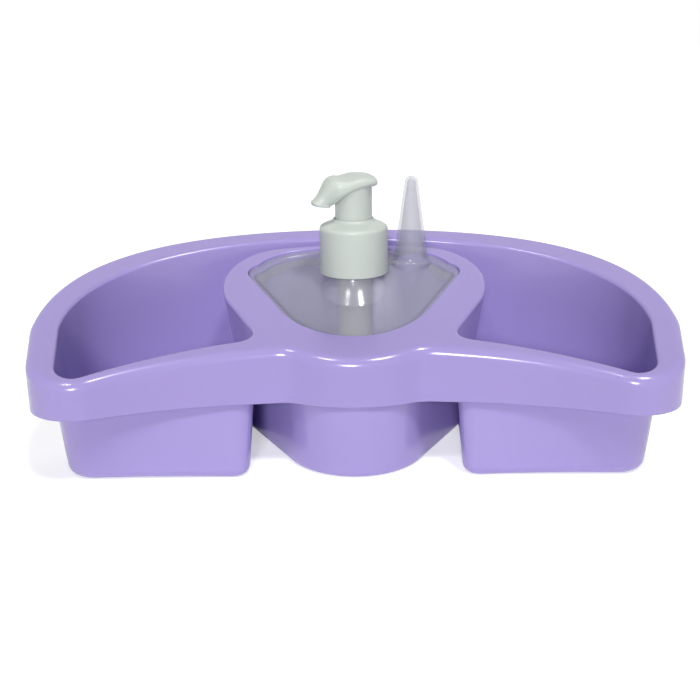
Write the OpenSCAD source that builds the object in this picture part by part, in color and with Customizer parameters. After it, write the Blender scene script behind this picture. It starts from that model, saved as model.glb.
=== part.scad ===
// Soap pump caddy: a one-piece tray with a central soap reservoir and a deep bin at each side,
// a clear lift-out lid that carries a ring post, and a lotion pump that screws on the lid's neck.
// The pump axis is upright. In the drawing functions it stands at x = 0, y = 0, and y grows to the back.

/* [Tray rim] */
// Width of the tray across the rim at its widest
tray_w = 305.5; // [280:0.5:330]
// Reach of the rim behind the pump axis
rear_reach = 48.6; // [45:0.2:54]
// How far in front of the pump axis the tray is widest
widest_ahead = 35.6; // [32:0.2:42]
// Reach of the two front ends ahead of the pump axis
end_reach = 77.7; // [75:0.1:84]
// Radius of the front ends in plan
end_r = 22.8; // [18:0.2:26]
// Reach of the nose ahead of the pump axis
nose_reach = 63.5; // [61:0.5:68]
// Radius of the nose bulge in plan
nose_r = 55; // [48:1:65]
// Half width of the nose bulge up to the waist
waist_x = 30.5; // [28:0.5:34]
// Height of the rim plane over the table, at the pump axis
rim_h = 79; // [74:1:90]
// Rise of the sloping rim plane for each unit of depth
rim_slope_share = 0.33; // [0.28:0.01:0.36]
// Radius of the rim's outer top edge
edge_r = 4; // [2:0.5:5]
// Radius of the rim's inner edges
lip_r = 1.8; // [1:0.2:2.4]
// Wall thickness of the tray
wall = 2.4; // [1.8:0.2:2.8]
// Height of the skirt's lower edge under the pump axis
skirt_h = 32; // [26:0.5:38]
// Rise of the skirt's lower edge toward the front for each unit of depth
skirt_slope_share = 0.05; // [0:0.01:0.1]
// Outward flare of the skirt at its lower edge
skirt_flare = 0.2; // [0.1:0.1:2]

/* [Bins] */
// Width of the flat rim beside a bin
rim_side = 14; // [11:0.5:16]
// Width of the flat rim behind the bins
rim_rear = 10.8; // [9:0.2:12]
// Radius of a bin's outer front corner at the rim
bin_corner_r = 10.2; // [8:0.2:12]
// Inward lean of a bin's outer wall from the rim to the floor
bin_lean = 6; // [3:0.5:12]
// Distance from the pump axis to a bin's inner wall at the floor
bin_in_x = 52.4; // [50:0.2:58]
// Reach of the bins' floor ahead of the pump axis
bin_front = 60; // [56:0.2:61]
// Radius of the bins' inner front corner at the floor
bin_in_r = 3.5; // [2:0.5:6]
// Thickness of the bins' floors and of the reservoir's floor
floor_t = 2.4; // [1.8:0.2:3.2]
// Radius between a bin's floor and its walls
floor_r = 5; // [3:0.5:6]

/* [Reservoir] */
// Radius of the reservoir's round nose
res_nose_r = 35.5; // [32:0.5:37]
// Reach of the reservoir's nose ahead of the pump axis
res_nose_reach = 63.2; // [60:0.2:63.4]
// Distance from the pump axis to the centre of a side lobe
lobe_x = 41.5; // [39:0.5:43]
// How far behind the pump axis the side lobes' centres lie
lobe_back = 2; // [0:0.5:4]
// Radius of a side lobe at the foot
lobe_r = 13.5; // [11:0.5:15]
// Radius between the reservoir's walls and the table
foot_r = 3; // [2:0.5:4]
// Radius of the raised shoulder beside the lid, at the rim
bulb_r = 31; // [28:0.5:33]
// Distance from the pump axis to the shoulder's widest point
bulb_x = 65; // [63:0.5:68]
// How far behind the pump axis the shoulder's back edge lies
bulb_back = 31.6; // [30:0.2:32]

/* [Lid] */
// Half width of the lid
lid_half_w = 53.2; // [51:0.2:54]
// Radius of the lid's front arc
lid_front_r = 41; // [39:0.5:43]
// Reach of the lid ahead of the pump axis
lid_front = 45.2; // [43:0.2:46]
// Reach of the lid behind the pump axis
lid_back = 29; // [27:0.2:29.2]
// Radius of the lid's side corners
lid_corner_r = 7; // [5:0.5:9]
// How far behind the pump axis the side corners' centres lie
lid_corner_back = 7; // [4:0.5:9]
// Depth of the lid's face below the rim plane
lid_sink = 0.8; // [0.4:0.1:2]
// Thickness of the lid
lid_t = 2; // [1.6:0.2:2.4]
// Width of the ledge that the lid rests on
ledge_w = 2.6; // [2:0.2:3.4]
// Depth of the lid's locating rib below its plate
rib_h = 4; // [3:0.5:6]
// Gap all round the lid in its seat
lid_gap = 0.4; // [0.3:0.05:0.6]

/* [Ring post] */
// Distance of the ring post to the right of the pump axis
post_x = 28.5; // [27:0.5:31]
// Distance of the ring post behind the pump axis
post_back = 18; // [14:0.5:18.5]
// Height of the ring post over the lid
post_h = 43; // [34:1:50]
// Radius of the ring post at its foot, above the flare
post_foot_r = 7.6; // [6:0.2:9]
// Radius of the ring post at its tip
post_tip_r = 3; // [2.4:0.1:4]
// Radius of the flare where the post meets the lid
post_flare = 2.4; // [1.5:0.1:3]
// Wall thickness of the hollow post
post_wall = 1.4; // [1:0.1:1.8]

/* [Pump closure] */
// Height of the closure's lower edge over the table, with the tray at its drawn height
closure_lift = 4; // [4:0.5:8]
// Outside radius of the closure
closure_r = 16.75; // [16.4:0.05:18]
// Height of the closure's straight wall
closure_h = 22; // [20:0.5:26]
// Height of the closure's sloping shoulder
shoulder_h = 5.6; // [4:0.2:7]
// Wall thickness of the closure
closure_wall = 2.6; // [2.2:0.1:2.7]
// Outside radius of the lid's neck
neck_r = 13.7; // [13.4:0.05:13.8]
// Bore radius of the lid's neck
neck_bore_r = 11.4; // [11.2:0.1:11.8]
// Height of the neck above the closure's lower edge
neck_h = 10.4; // [9:0.2:11]

/* [Pump] */
// Outside radius of the pump barrel
barrel_r = 8.7; // [8:0.1:9.4]
// Wall thickness of the pump barrel
barrel_wall = 1.1; // [0.9:0.1:1.3]
// Length of the barrel below the neck's mouth
barrel_len = 62; // [56:1:68]
// Thickness of the barrel's flange
flange_t = 1.4; // [1.2:0.1:1.8]
// Thickness of the neck gasket
gasket_t = 0.8; // [0.6:0.1:1.2]
// Outside radius of the dip tube
dip_r = 2.6; // [2.2:0.1:3]
// Wall thickness of the dip tube
dip_wall = 0.6; // [0.4:0.1:0.8]
// Gap between the dip tube's foot and the reservoir's floor
dip_gap = 3; // [2:0.5:6]
// Length of the dip tube inside its socket
dip_socket = 8; // [6:0.5:10]
// Radius of the inlet ball
ball_r = 2.4; // [2.2:0.1:2.8]
// Lift of the inlet ball off its seat
ball_lift = 1.2; // [0.8:0.1:1.6]
// Stroke of the pump
stroke = 8; // [6:0.5:8.5]
// Outside radius of the stem
stem_r = 3.9; // [3.7:0.1:4]
// Bore radius of the stem
stem_bore_r = 2.4; // [2:0.1:2.6]
// Mean radius of the return spring
spring_r = 5; // [4.8:0.1:5.2]
// Diameter of the spring wire
wire_d = 1; // [0.8:0.1:1.1]
// Number of turns of the return spring
spring_turns = 9; // [6:1:11]
// Length of the spring at rest
spring_len = 25; // [24:0.5:26]

/* [Pump head] */
// Outside radius of the head's skirt
head_r = 9.05; // [8.8:0.05:9.1]
// Wall thickness of the head's skirt
head_wall = 1.4; // [1.1:0.1:1.5]
// Height of the head's top over the closure's lower edge
head_top = 50; // [48:0.5:54]
// Reach of the spout from the pump axis
spout_reach = 23; // [21:0.2:25]
// Angle of the spout, turned from straight left toward the front
spout_turn = 20; // [-90:5:90]
// Drop of the spout's tip below the head's top
spout_drop = 14.2; // [12:0.2:15]
// Width of the head over the skirt
head_w = 20; // [18.6:0.2:21]
// Width of the spout at its tip
tip_w = 8.4; // [7:0.2:10]
// Thickness of the spout at its tip
tip_t = 4.6; // [4.2:0.1:5.2]
// Reach of the thumb lip behind the pump axis
lip_reach = 12; // [11:0.2:13]

/* [Hidden] */

// Overrun that lets a cut pass clean through a face
over = 1;
// Running gap between the pump's sliding pieces
run_gap = 0.1;
// Clearance between pieces that move past each other in the open
free_gap = 0.3;
// Depth to which one solid is rooted in another of the same piece
root = 0.6;
// Thickness of the guide collar's flange
cap_t = 1.2;
// Running gap of a close fit
fit_gap = 0.05;
// Facets of a round piece
round_n = 72;
// Pitch of the grid that points on the sloping planes are moved to
grid = 0.01;

// Heights of the pump's pieces, all led from the closure's lower edge
closure_z = rim_h + closure_lift;
neck_top = closure_z + neck_h;
gasket_z = neck_top + run_gap;
flange_z = gasket_z + gasket_t;
collar_z = flange_z + flange_t;
grip_z = collar_z + cap_t + free_gap;
shoulder_z = closure_z + closure_h;
closure_top = shoulder_z + shoulder_h;
head_z = closure_z + head_top;
barrel_foot = neck_top - barrel_len;
lid_z = rim_h - lid_sink;

// Where the pump axis stands, so that the tray is centred in depth
front_most = end_reach + skirt_flare;
rear_most = rear_reach + skirt_flare;
pump_y = (front_most - rear_most) / 2;

// Points on each stretch of an outline, and steps in a rounded edge
long_steps = 14;
short_steps = 6;
edge_steps = 4;
lip_steps = 3;

half_w = tray_w / 2;

// Handles of the bowed outlines, as shares of the bow
rim_bow_share = 0.658;
bin_bow_share = 0.607;
floor_bow_share = 0.62;

// A point a share of the way from one point to another
function mix(a, b, t) = a + (b - a) * t;

// Quadratic and cubic curves, without their last point
function curve3(a, b, c, n) = [for (i = [0:n - 1])
    let (t = i / n) mix(mix(a, b, t), mix(b, c, t), t)];
function curve4(a, b, c, d, n) = [for (i = [0:n - 1])
    let (t = i / n) mix(mix(mix(a, b, t), mix(b, c, t), t), mix(mix(b, c, t), mix(c, d, t), t), t)];
function line2(a, b, n) = [for (i = [0:n - 1]) mix(a, b, i / n)];

// Arc about a centre, from one bearing to another, without its last point
function arc(c, r, from, to, n) = [for (i = [0:n - 1])
    let (a = mix(from, to, i / n)) c + r * [cos(a), sin(a)]];
function on_arc(c, r, a) = c + r * [cos(a), sin(a)];

// Right half of a bowed back: from the middle of the back to the widest point
function bow(a, b, ahead, share, n) =
    curve4([0, b - ahead], [a * share, b - ahead], [a, b * share - ahead], [a, -ahead], n);

// Mirrors a right half, which runs from the back to the front, into a whole clockwise ring
function both(half) = concat(half, [for (i = [len(half) - 1:-1:0])
    if (abs(half[i][0]) > 1e-6) [-half[i][0], half[i][1]]]);

// Moves each point of a clockwise ring inward, square to the ring
function inset(ring, d) = [for (i = [0:len(ring) - 1])
    let (n = len(ring), run = ring[(i + 1) % n] - ring[(i + n - 1) % n], len = norm(run))
    ring[i] + d * [run[1], -run[0]] / len];

// Heights of the rim plane and of the skirt's lower edge
function rim_at(y, base = rim_h) = base + rim_slope_share * y;
function skirt_at(y) = skirt_h - skirt_slope_share * y;

// A point moved to the nearest corner of a fine grid, so that the sloping planes stay flat when
// their points are written down
function snap(p) = [round(p[0] / grid) * grid, round(p[1] / grid) * grid];

// A ring laid on the rim plane, sunk below it, and a ring laid level
function on_rim(ring, sink) = [for (p = ring) let (q = snap(p)) [q[0], q[1], rim_at(q[1]) - sink]];
function on_skirt(ring, sink) = [for (p = ring) let (q = snap(p)) [q[0], q[1], skirt_at(q[1]) - sink]];
function level(ring, z) = [for (p = ring) [p[0], p[1], z]];

// Solid through rings of equal count, from the lowest to the highest
module loft(rings) {
    n = len(rings[0]);
    last = len(rings) - 1;
    points = [for (ring = rings) each ring];
    sides = [for (k = [0:last - 1], i = [0:n - 1])
        let (j = (i + 1) % n, a = k * n + i, b = k * n + j)
        each [[a, b, b + n], [a, b + n, a + n]]];
    foot = [[for (i = [n - 1:-1:0]) i]];
    top = [[for (i = [0:n - 1]) last * n + i]];
    polyhedron(points = points, faces = concat(foot, sides, top), convexity = 10);
}

// Outer edge of the rim, in plan
end_c = [half_w - end_r - 0.9 * edge_r, -(end_reach - end_r)];
end_from = -11.5;
end_to = -118;
nose_c = [0, nose_r - nose_reach];
nose_side = asin((waist_x - 1.4 * edge_r) / nose_r);
waist_y = nose_c[1] - sqrt(nose_r * nose_r - waist_x * waist_x);
wing_start = [waist_x + 2 * edge_r, waist_y - edge_r / 3];
wing_bend = [mix(waist_x, half_w, 0.43), waist_y - 1.47 * edge_r];
rim_half = concat(
    bow(half_w, rear_reach + widest_ahead, widest_ahead, rim_bow_share, long_steps),
    line2([half_w, -widest_ahead], on_arc(end_c, end_r, end_from), 3),
    arc(end_c, end_r, end_from, end_to, short_steps + 2),
    curve3(on_arc(end_c, end_r, end_to), wing_bend, wing_start, short_steps + 3),
    curve3(wing_start, [waist_x, waist_y], on_arc(nose_c, nose_r, nose_side - 90), 4),
    arc(nose_c, nose_r, nose_side - 90, -90, short_steps),
    [[0, -nose_reach]]);
rim_ring = both(rim_half);

// Mouth of the right bin on the rim plane, with the channel that runs behind the reservoir
mouth_w = half_w - rim_side;
mouth_back = rear_reach - rim_rear;
mouth_c = [mouth_w - bin_corner_r - 0.3 * rim_side, end_c[1] - 0.7 * bin_corner_r];
mouth_from = -9.5;
mouth_to = -100;
bulb_c = [bulb_x - bulb_r, -lobe_back];
bulb_side = -31;
bulb_rear = 78;
mouth_end = [bin_in_x + bin_in_r, waist_y + 1.5 * edge_r];
mouth_bend = [bin_in_x - 2.3 * bin_in_r, waist_y + 2.1 * edge_r];
bulb_start = mix(on_arc(bulb_c, bulb_r, bulb_side), mouth_bend, 0.7);
mouth_ring = concat(
    bow(mouth_w, mouth_back + widest_ahead, widest_ahead, bin_bow_share, long_steps),
    line2([mouth_w, -widest_ahead], on_arc(mouth_c, bin_corner_r, mouth_from), 3),
    arc(mouth_c, bin_corner_r, mouth_from, mouth_to, short_steps),
    curve3(on_arc(mouth_c, bin_corner_r, mouth_to), [mix(waist_x, half_w, 0.49), waist_y - edge_r / 2],
        mouth_end, short_steps + 1),
    curve3(mouth_end, mouth_bend, bulb_start, 4),
    line2(bulb_start, on_arc(bulb_c, bulb_r, bulb_side), 2),
    arc(bulb_c, bulb_r, bulb_side, bulb_rear, short_steps + 2),
    curve3(on_arc(bulb_c, bulb_r, bulb_rear), [bulb_x / 3, bulb_back], [0, bulb_back], 4),
    [[0, bulb_back]]);

// The same bin's ring at the floor, with as many points on each stretch
floor_w = mouth_w - bin_lean;
floor_back = mouth_back - bin_lean;
floor_c = [floor_w - bin_corner_r, -(bin_front - bin_corner_r)];
lobe_gap_r = lobe_r + wall * 0.4;
lobe_c = [lobe_x, lobe_back];
inner_c = [bin_in_x + bin_in_r, -(bin_front - bin_in_r)];
back_at = bow(floor_w, floor_back + widest_ahead, widest_ahead, floor_bow_share, long_steps);
floor_tip = on_arc(lobe_c, lobe_gap_r, 60);
floor_side = on_arc(lobe_c, lobe_gap_r, -20);
floor_ring = concat(
    curve4(floor_tip + [0, floor_r], [floor_w * floor_bow_share, floor_back - floor_r],
        [floor_w, floor_bow_share * (floor_back + widest_ahead) - widest_ahead],
        [floor_w, -widest_ahead], long_steps),
    line2([floor_w, -widest_ahead], on_arc(floor_c, bin_corner_r, 0), 3),
    arc(floor_c, bin_corner_r, 0, -90, short_steps),
    line2([floor_c[0], -bin_front], [inner_c[0], -bin_front], short_steps + 1),
    arc(inner_c, bin_in_r, -90, -180, 4),
    line2([bin_in_x, inner_c[1]], floor_side, 2),
    line2(floor_side, mix(floor_side, floor_tip, 0.7) + [wall / 2, 0], short_steps + 2),
    line2(mix(floor_side, floor_tip, 0.7) + [wall / 2, 0], floor_tip, 4),
    [floor_tip]);

// Grows a bin's ring outward. Its two ends, where the bins meet behind the reservoir, move only
// to the back and the front, and slide toward the middle by the shift.
function bin_grow(ring, grow, shift = 0) = let (out = inset(ring, -grow), last = len(ring) - 1)
    [for (i = [0:last])
        i == 0 ? [max(0, ring[0][0] - shift), ring[0][1] + grow] :
        i == last ? [max(0, ring[last][0] - shift), ring[last][1] - grow] : out[i]];

// A bin's ring at a share of its height: the hollow itself, or the hollow with its wall. The
// channel behind the reservoir keeps its outline from the rim down to the saddle.
saddle_share = 0.86;
function bin_share(i, share) = share < saddle_share ? share :
    mix(1, share, min(1, mouth_ring[i][0] / lobe_x));
function bin_ring(share, grow, shift = 0) = bin_grow([for (i = [0:len(mouth_ring) - 1])
    mix(floor_ring[i], mouth_ring[i], bin_share(i, share))], grow, shift);
function bin_height(i, share) = mix(floor_t, rim_at(mouth_ring[i][1]), share);
function bin_level(share, grow, drop) = let (ring = bin_ring(share, grow, drop))
    [for (i = [0:len(ring) - 1]) [ring[i][0], ring[i][1], bin_height(i, share) - drop]];

// The bin's ring drawn in toward the middle of its floor, for the radius along the floor's edge
bin_hub = [mix(bin_in_x, floor_w, 0.5), -bin_front * 0.4];
function bin_foot(share, grow, draw) = [for (p = bin_ring(share, grow, 2 * grow))
    p + (bin_hub - p) * draw / norm(bin_hub - p)];

module bin_hollow() {
    loft(concat(
        [level(bin_foot(0, 0, floor_r), floor_t)],
        [level(bin_foot(0.015, 0, 0.3 * floor_r), floor_t + 0.28 * floor_r)],
        [level(bin_ring(0.06, 0), floor_t + floor_r)],
        [bin_level(0.5, 0, 0)],
        [bin_level(saddle_share, 0, 0)],
        [for (k = [0:lip_steps]) let (a = 72 * k / lip_steps)
            on_rim(bin_grow(mouth_ring, lip_r * (1 - cos(a))), lip_r * (1 - sin(a)))],
        [on_rim(bin_grow(mouth_ring, lip_r), -over)]));
}

module bin_shell() {
    loft([level(bin_foot(0, wall, floor_r), 0),
        level(bin_foot(0.01, wall, 0.3 * floor_r), 0.28 * floor_r),
        level(bin_ring(0.05, wall, 2 * wall), floor_r),
        bin_level(0.5, wall, wall),
        bin_level(saddle_share, wall, wall),
        on_rim(bin_grow(mouth_ring, wall), wall / 2)]);
}

// Outline of the lid in plan, grown or shrunk by a margin
lid_c = [lid_half_w - lid_corner_r, lid_corner_back];
lid_front_c = [0, lid_front_r - lid_front];
lid_half = concat(
    curve3([0, lid_back], [lid_c[0] * 0.86, lid_back], on_arc(lid_c, lid_corner_r, 70), short_steps),
    arc(lid_c, lid_corner_r, 70, -32, short_steps),
    line2(on_arc(lid_c, lid_corner_r, -32), on_arc(lid_front_c, lid_front_r, -32), 3),
    arc(lid_front_c, lid_front_r, -32, -90, short_steps + 2),
    [[0, -lid_front]]);
lid_ring = both(lid_half);

// Upright prism on the lid's outline between two levels that are parallel to the rim plane
module lid_prism(grow, low, high) {
    ring = inset(lid_ring, -grow);
    hull() loft([on_rim(ring, -low), on_rim(ring, -high)]);
}

// Foot of the reservoir: a round nose with a lobe at each side
module res_foot(grow, z, h) {
    translate([0, res_nose_r - res_nose_reach, z]) cylinder(r = res_nose_r + grow, h = h, $fn = 48);
    for (side = [-1, 1])
        translate([side * lobe_x, lobe_back, z]) cylinder(r = lobe_r + grow, h = h, $fn = 32);
}

// The reservoir as a solid: its outside, or its hollow
module res_solid(grow, foot, reach, low, high) {
    hull() {
        res_foot(grow - foot_r, foot, root);
        res_foot(grow, foot + foot_r, foot_r);
    }
    hull() {
        res_foot(grow, foot + foot_r, skirt_h - foot);
        lid_prism(reach, low, high);
    }
}

module skirt_block() {
    loft(concat(
        [on_skirt(inset(rim_ring, -skirt_flare), 0)],
        [for (k = [0:edge_steps]) let (a = 90 * k / edge_steps)
            on_rim(inset(rim_ring, edge_r * (1 - cos(a))), edge_r * (1 - sin(a)))]));
}

module skirt_hollow() {
    loft([on_skirt(inset(rim_ring, wall - skirt_flare * (1 + over / skirt_h)), over),
        on_rim(inset(rim_ring, wall), edge_r + wall),
        on_rim(inset(rim_ring, wall + edge_r / 2), wall)]);
}

module tray() {
    seat = -lid_sink - lid_t;
    color([0.66, 0.60, 0.84]) translate([0, pump_y, 0]) difference() {
        union() {
            difference() {
                skirt_block();
                skirt_hollow();
            }
            for (side = [0, 1]) mirror([side, 0, 0]) bin_shell();
            res_solid(0, 0, wall, seat - wall, -wall / 2);
        }
        for (side = [0, 1]) mirror([side, 0, 0]) bin_hollow();
        res_solid(-wall, floor_t, -ledge_w, seat - wall - root, seat - wall);
        lid_prism(-ledge_w, seat - wall - root / 2, over);
        lid_prism(0, seat, over);
    }
}

// Everything on the pump axis stands here
module at_pump(z = 0) {
    translate([0, pump_y, z]) children();
}

// Solid of revolution from a list of radius and height pairs
module turned(points) {
    rotate_extrude($fn = round_n) polygon(points);
}

module ring_wall(r_out, r_in, h) {
    turned([[r_in, 0], [r_out, 0], [r_out, h], [r_in, h]]);
}

// Bell that leads from the neck down to the lid's plate: its outer face, or its hollow
bell_drop = 12;
bell_reach = 8.5;
bell_shares = [[0, 0], [0.07, 0.14], [0.2, 0.31], [0.42, 0.52], [0.7, 0.76], [1, 1]];
module bell(r, top) {
    turned(concat([[0, top]],
        [for (p = bell_shares) [r + p[0] * bell_reach, top - p[1] * bell_drop]],
        [[0, top - bell_drop]]));
}

// Ring post: its outer face, or its hollow
post_z = rim_at(post_back) - lid_sink;
post_flare_h = 3.4;
module post(inward, tip) {
    r = post_foot_r - inward;
    t = post_tip_r - inward;
    low = -post_flare_h * 2;
    turned(concat([[0, low], [r + post_flare, low]],
        [for (k = [0:4]) let (a = 90 * k / 4)
            [r + post_flare * (1 - sin(a)), post_flare_h * (0.8 - cos(a))]],
        [for (k = [0:4]) let (a = 90 * k / 4) [t * cos(a), post_h - tip - t * (1 - sin(a))]]));
}

module lid() {
    seat = -lid_sink - lid_t;
    well_r = closure_r + 2 * free_gap;
    well_z = closure_z - 2 * fit_gap - free_gap;
    bell_top = well_z - fit_gap;
    color([0.80, 0.82, 0.88, 0.5]) at_pump() difference() {
        union() {
            difference() {
                union() {
                    lid_prism(-lid_gap, seat, -lid_sink);
                    intersection() {
                        lid_prism(-lid_gap, seat - closure_r, -lid_sink);
                        translate([0, 0, well_z - lid_t])
                            cylinder(r = well_r + lid_t, h = closure_r, $fn = round_n);
                    }
                }
                translate([0, 0, well_z]) cylinder(r = well_r, h = closure_r, $fn = round_n);
            }
            intersection() {
                lid_prism(-lid_gap, seat, post_h + closure_r);
                union() {
                    translate([0, 0, well_z - closure_r])
                        cylinder(r = neck_r, h = neck_top - well_z + closure_r, $fn = round_n);
                    bell(neck_r, bell_top);
                    translate([post_x, post_back, post_z]) post(0, 0);
                }
            }
            difference() {
                lid_prism(-ledge_w - free_gap, seat - rib_h, seat + root);
                lid_prism(-ledge_w - free_gap - lid_t * 0.7, seat - rib_h - over, seat + over);
            }
        }
        translate([0, 0, well_z - 2 * closure_r])
            cylinder(r = neck_bore_r, h = 3 * closure_r + neck_h, $fn = round_n);
        bell(neck_r - lid_t, bell_top - lid_t);
        translate([post_x, post_back, post_z]) post(post_wall, post_wall);
    }
}

// Radii of the pieces that stack on the neck
stack_r = closure_r - closure_wall - free_gap - run_gap;
guide_r = stem_r + run_gap;
bore_r = barrel_r - barrel_wall;
hole_r = head_r + free_gap;

module pump_closure() {
    inner_r = closure_r - closure_wall;
    edge = closure_wall / 4;
    color([0.93, 0.94, 0.92]) at_pump() turned([
        [inner_r, closure_z],
        [closure_r - edge / 2, closure_z],
        [closure_r, closure_z + edge / 2],
        [closure_r, shoulder_z - edge],
        [closure_r - edge * 0.4, shoulder_z - edge * 0.3],
        [closure_r - 1.6 * edge, shoulder_z + edge * 0.4],
        [mix(hole_r, closure_r, 0.3), shoulder_z + shoulder_h * 0.55],
        [hole_r + edge * 1.2, closure_top - edge * 0.6],
        [hole_r + edge * 0.8, closure_top],
        [hole_r, closure_top],
        [hole_r, closure_top - 2 * edge],
        [stack_r - 2 * edge, shoulder_z - closure_wall / 2],
        [stack_r - 2 * edge, grip_z],
        [inner_r, grip_z]]);
}

module neck_gasket() {
    color([0.35, 0.36, 0.38]) at_pump(gasket_z) ring_wall(stack_r, neck_bore_r, gasket_t);
}

// Heights inside the pump, from the dip tube's socket up to the rest of the spring, with the
// thickness of the stem foot's flange and the height of the seal
dip_top = barrel_foot + dip_socket;
throat_r = ball_r * 0.66;
seat_z = dip_top + barrel_wall;
chamber_r = ball_r + 0.8 * free_gap;
ball_z = seat_z - throat_r + (ball_r + fit_gap) * sqrt(2);
cage_r = ball_r * sqrt(3) / 2;
cage_z = ball_z + ball_lift + ball_r / 2 + run_gap;
spring_z = cage_z + barrel_wall;
spring_top = spring_z + spring_len;
foot_flange_t = 1.6;
seal_z = spring_top + foot_flange_t + fit_gap;
seal_h = 6.4;
stop_z = seal_z + seal_h + free_gap;

// Depths below the head's top of the stem's upper end, of the roof inside the skirt, of the skirt's
// root in the head, and of the boss that grips the stem
stem_drop = 5.6;
roof_drop = 8;
skirt_drop = 5;
boss_drop = 19;
stem_top = head_z - stem_drop;
boss_foot = head_z - boss_drop;

// How far the head's skirt reaches down inside the closure
skirt_sink = 3;
skirt_foot = closure_top - skirt_sink;

// Height of the sleeve that centres the barrel in the neck, and bearing of its vent hole
sleeve_h = 5;
vent_side = 125;
module pump_barrel() {
    socket_r = dip_r + fit_gap;
    sleeve_r = neck_bore_r - free_gap;
    step_z = spring_z - barrel_wall * 0.4;
    vent_r = barrel_wall * 0.8;
    color([0.86, 0.88, 0.87, 0.8]) at_pump() difference() {
        turned([
            [socket_r, barrel_foot],
            [socket_r + barrel_wall, barrel_foot],
            [socket_r + barrel_wall, dip_top - barrel_wall],
            [chamber_r + barrel_wall * 1.3, seat_z],
            [chamber_r + barrel_wall * 1.3, ball_z],
            [barrel_r, step_z],
            [barrel_r, flange_z - sleeve_h + barrel_wall],
            [sleeve_r, flange_z - sleeve_h + 2 * barrel_wall],
            [sleeve_r, flange_z],
            [stack_r, flange_z],
            [stack_r, collar_z],
            [bore_r, collar_z],
            [bore_r, spring_z],
            [cage_r, spring_z],
            [cage_r, cage_z],
            [chamber_r, cage_z],
            [chamber_r, seat_z + chamber_r - throat_r],
            [throat_r, seat_z],
            [throat_r, dip_top],
            [socket_r, dip_top]]);
        translate([0, 0, flange_z - 2 * sleeve_h]) rotate([0, 90, vent_side])
            cylinder(r = vent_r, h = 2 * barrel_r, $fn = 24);
    }
}

// Depth to which the guide collar plugs the barrel, wall of its tube, and width of its upper lip
plug_h = 5;
tube_wall = 1.4;
collar_lip = 0.8;
module guide_collar() {
    tube_r = guide_r + tube_wall;
    color([0.90, 0.91, 0.88]) at_pump() turned([
        [guide_r, stop_z],
        [tube_r, stop_z],
        [tube_r, collar_z - plug_h],
        [bore_r - fit_gap, collar_z - plug_h + tube_r / 8],
        [bore_r - fit_gap, collar_z],
        [stack_r, collar_z],
        [stack_r, collar_z + cap_t],
        [tube_r + collar_lip, collar_z + cap_t],
        [tube_r + collar_lip, collar_z + 3 * cap_t],
        [guide_r + collar_lip, collar_z + 3.4 * cap_t],
        [guide_r, collar_z + 3 * cap_t]]);
}

module dip_tube() {
    foot_z = floor_t + dip_gap;
    color([0.88, 0.90, 0.90, 0.7]) at_pump() difference() {
        translate([0, 0, foot_z]) ring_wall(dip_r, dip_r - dip_wall, dip_top - foot_z);
        translate([dip_r, 0, foot_z]) rotate([0, 50, 0]) cube(2 * dip_r, center = true);
    }
}

module inlet_ball() {
    color([0.75, 0.76, 0.78]) at_pump(ball_z) sphere(r = ball_r, $fn = 48);
}

// Coil of wire: rings of six points swept round the axis, with each end turn wound close
module return_spring() {
    wire_r = wire_d / 2;
    per_turn = 10;
    around = 6;
    steps = spring_turns * per_turn;
    rise = spring_len - wire_d - 2 * fit_gap;
    dead = 1 / spring_turns;
    close = wire_d + run_gap;
    function lift(t) = t < dead ? close * t / dead :
        t > 1 - dead ? rise - close * (1 - t) / dead :
        mix(close, rise - close, (t - dead) / (1 - 2 * dead));
    rings = [for (i = [0:steps]) let (t = i / steps, a = 360 * t * spring_turns)
        [for (k = [0:around - 1]) let (b = 360 * k / around, r = spring_r + wire_r * cos(b))
            [r * cos(a), r * sin(a), lift(t) + wire_r * sin(b)]]];
    color([0.70, 0.71, 0.73]) at_pump(spring_z + wire_r + fit_gap) loft(rings);
}

// Wall of the piston seal at its waist, and width of its two lips
seal_wall = 1.5;
seal_lip = 0.4;
module piston_seal() {
    in_r = stem_r + fit_gap;
    lip = bore_r - fit_gap;
    waist = in_r + seal_wall;
    color([0.92, 0.93, 0.93]) at_pump(seal_z) turned([
        [in_r, 0],
        [waist, 0],
        [lip - seal_lip, -foot_flange_t / 3],
        [lip, -foot_flange_t / 3],
        [lip, seal_lip],
        [waist, seal_h * 0.32],
        [waist, seal_h * 0.68],
        [lip, seal_h - seal_lip],
        [lip, seal_h],
        [lip - seal_lip, seal_h],
        [waist, seal_h * 0.86],
        [waist, seal_h],
        [in_r, seal_h]]);
}

module pump_stem() {
    color([0.90, 0.91, 0.90]) at_pump(seal_z + fit_gap)
        ring_wall(stem_r, stem_bore_r, stem_top - seal_z - fit_gap);
}

// Height of the pilot inside the spring, and length of the plug and of its nose inside the stem
pilot_h = 2;
plug_len = 5;
plug_nose = 0.6;
module stem_foot() {
    plug_r = stem_bore_r - fit_gap;
    hole = plug_r * 0.5;
    flange_r = spring_r + wire_d / 2 + run_gap;
    color([0.88, 0.89, 0.88]) at_pump() turned([
        [hole, spring_top - pilot_h],
        [spring_r - wire_d, spring_top - pilot_h],
        [spring_r - wire_d, spring_top],
        [flange_r, spring_top],
        [flange_r, spring_top + foot_flange_t],
        [plug_r, spring_top + foot_flange_t],
        [plug_r, spring_top + foot_flange_t + plug_len],
        [hole, spring_top + foot_flange_t + plug_len + plug_nose]]);
}

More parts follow.
